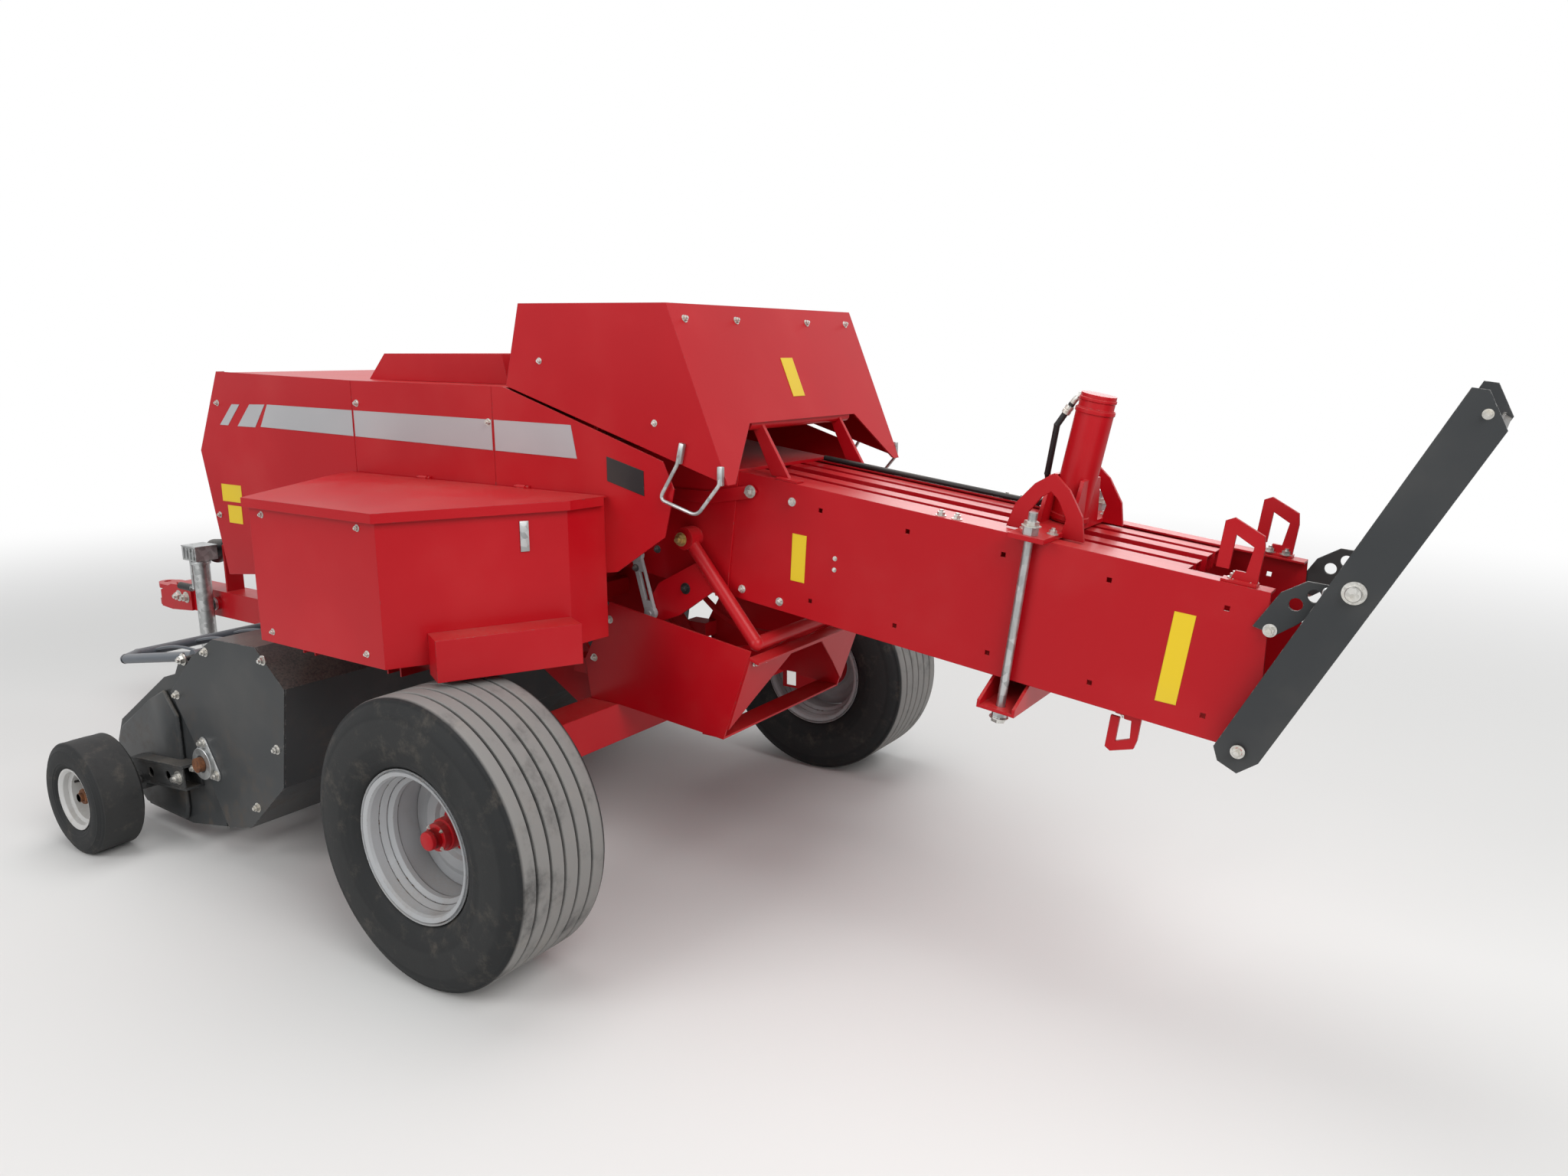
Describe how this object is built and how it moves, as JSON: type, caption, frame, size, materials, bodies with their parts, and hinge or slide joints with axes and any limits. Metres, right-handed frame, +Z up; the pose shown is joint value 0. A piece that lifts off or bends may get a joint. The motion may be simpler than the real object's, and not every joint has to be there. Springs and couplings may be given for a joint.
{
  "type": "small square baler",
  "caption": "Towed in-line hay baler: full-width pickup, sloping bale chamber with knotter hood, twine boxes, folding chute, tongue and jack",
  "frame": {"origin": "ground level under the middle of the overall box", "axes": "+X forward to the hitch, +Y left, +Z up"},
  "size_m": [5.4756, 2.435, 1.76],
  "materials": {
    "black": "black plastic and hose rubber",
    "charcoal": "satin charcoal grey paint, light scratches",
    "iron": "black painted cast iron",
    "red": "glossy red enamel on sheet steel, dusty, a few rub marks",
    "silver": "silver rim paint",
    "tyre": "black rubber, tread ribs scuffed grey",
    "zinc": "dull zinc plated and galvanised steel"
  },
  "bodies": {
    "chassis": {"axle_beam": "red", "main_frame": "red", "tongue": "red", "hitch_clevis": "red", "jack_tube": "zinc", "chamber_left": "red", "chamber_right": "red", "chamber_floor": "red", "tension_rails": "red", "tension_cylinder": "red", "tie_rods": "zinc", "tension_beam": "red", "chamber_handles": "red", "chute_brackets": "charcoal", "chute_chains": "zinc", "plunger_case": "red", "knotters": "red", "hood_stand": "red", "gearbox": "red", "drive_guard": "black", "side_shields": "red", "deck": "red", "needle_guard": "red", "twine_box_left": "red", "twine_box_right": "red", "steps": "red", "feed_housing": "red", "pickup_housing": "charcoal", "pickup_panels": "charcoal", "auger_shaft": "iron", "hoses": "black"},
    "wheel_left": {"main_tyre_left": "tyre", "main_rim_left": "silver"},
    "wheel_right": {"main_tyre_right": "tyre", "main_rim_right": "silver"},
    "pickup": {"pickup_frame": "charcoal", "gauge_arms": "charcoal", "crop_guard": "charcoal"},
    "gauge_left": {"gauge_wheel_left": "tyre"},
    "gauge_right": {"gauge_wheel_right": "tyre"},
    "reel": {"tine_reel": "charcoal"},
    "auger": {"feed_auger": "charcoal"},
    "flywheel": {"flywheel": "iron"},
    "drive": {"drive_yoke": "zinc"},
    "chute": {"chute": "charcoal"},
    "hood": {"hood": "red"},
    "yoke": {"needle_yoke": "red"},
    "link": {"yoke_link": "zinc"},
    "lid_left": {"twine_lid_left": "red"},
    "lid_right": {"twine_lid_right": "red"},
    "jack": {"jack_leg": "zinc"}
  },
  "joints": [
    {"name": "wheel_left_spin", "type": "hinge", "parent": "chassis", "child": "wheel_left", "pos_m": [-0.53525, 0.948, 0.393], "axis": [0, 1, 0], "continuous": true},
    {"name": "wheel_right_spin", "type": "hinge", "parent": "chassis", "child": "wheel_right", "pos_m": [-0.53525, -0.948, 0.393], "axis": [0, 1, 0], "continuous": true},
    {"name": "pickup_lift", "type": "hinge", "parent": "chassis", "child": "pickup", "pos_m": [0.66675, 0, 0.324], "axis": [0, -1, 0], "range_deg": [0, 18]},
    {"name": "gauge_left_spin", "type": "hinge", "parent": "pickup", "child": "gauge_left", "pos_m": [1.05475, 1.14, 0.19], "axis": [0, 1, 0], "continuous": true},
    {"name": "gauge_right_spin", "type": "hinge", "parent": "pickup", "child": "gauge_right", "pos_m": [1.05475, -1.14, 0.19], "axis": [0, 1, 0], "continuous": true},
    {"name": "reel_spin", "type": "hinge", "parent": "pickup", "child": "reel", "pos_m": [1.05675, 0, 0.298], "axis": [0, 1, 0], "continuous": true},
    {"name": "auger_spin", "type": "hinge", "parent": "chassis", "child": "auger", "pos_m": [0.66675, 0, 0.324], "axis": [0, 1, 0], "continuous": true},
    {"name": "flywheel_spin", "type": "hinge", "parent": "chassis", "child": "flywheel", "pos_m": [1.17975, 0, 1.015], "axis": [1, 0, 0], "continuous": true},
    {"name": "drive_spin", "type": "hinge", "parent": "chassis", "child": "drive", "pos_m": [1.26125, 0, 1.015], "axis": [0.9565, 0, -0.2918], "continuous": true},
    {"name": "chute_fold", "type": "hinge", "parent": "chassis", "child": "chute", "pos_m": [-2.32225, 0, 0.772], "axis": [0, -1, 0], "range_deg": [0, 70]},
    {"name": "hood_lift", "type": "hinge", "parent": "chassis", "child": "hood", "pos_m": [-0.26525, 0, 1.54], "axis": [0, 1, 0], "range_deg": [0, 70]},
    {"name": "needle_swing", "type": "hinge", "parent": "chassis", "child": "yoke", "pos_m": [-0.78528, 0, 1.1], "axis": [0, -1, 0], "range_deg": [0, 100]},
    {"name": "link_turn", "type": "hinge", "parent": "yoke", "child": "link", "pos_m": [-0.65028, 0, 0.862], "axis": [0, -1, 0], "range_deg": [-100, 0]},
    {"name": "lid_left_open", "type": "hinge", "parent": "chassis", "child": "lid_left", "pos_m": [-0.09525, 0.4723, 1.2368], "axis": [1, 0, 0], "range_deg": [0, 80]},
    {"name": "lid_right_open", "type": "hinge", "parent": "chassis", "child": "lid_right", "pos_m": [-0.09525, -0.4723, 1.2368], "axis": [-1, 0, 0], "range_deg": [0, 80]},
    {"name": "jack_slide", "type": "slide", "parent": "chassis", "child": "jack", "axis": [0, 0, 1], "range_m": [0, 0.25]}
  ],
  "couplings": [
    {"joint": "link_turn", "follows": "needle_swing", "ratio": -1},
    {"joint": "drive_spin", "follows": "flywheel_spin", "ratio": 1}
  ]
}
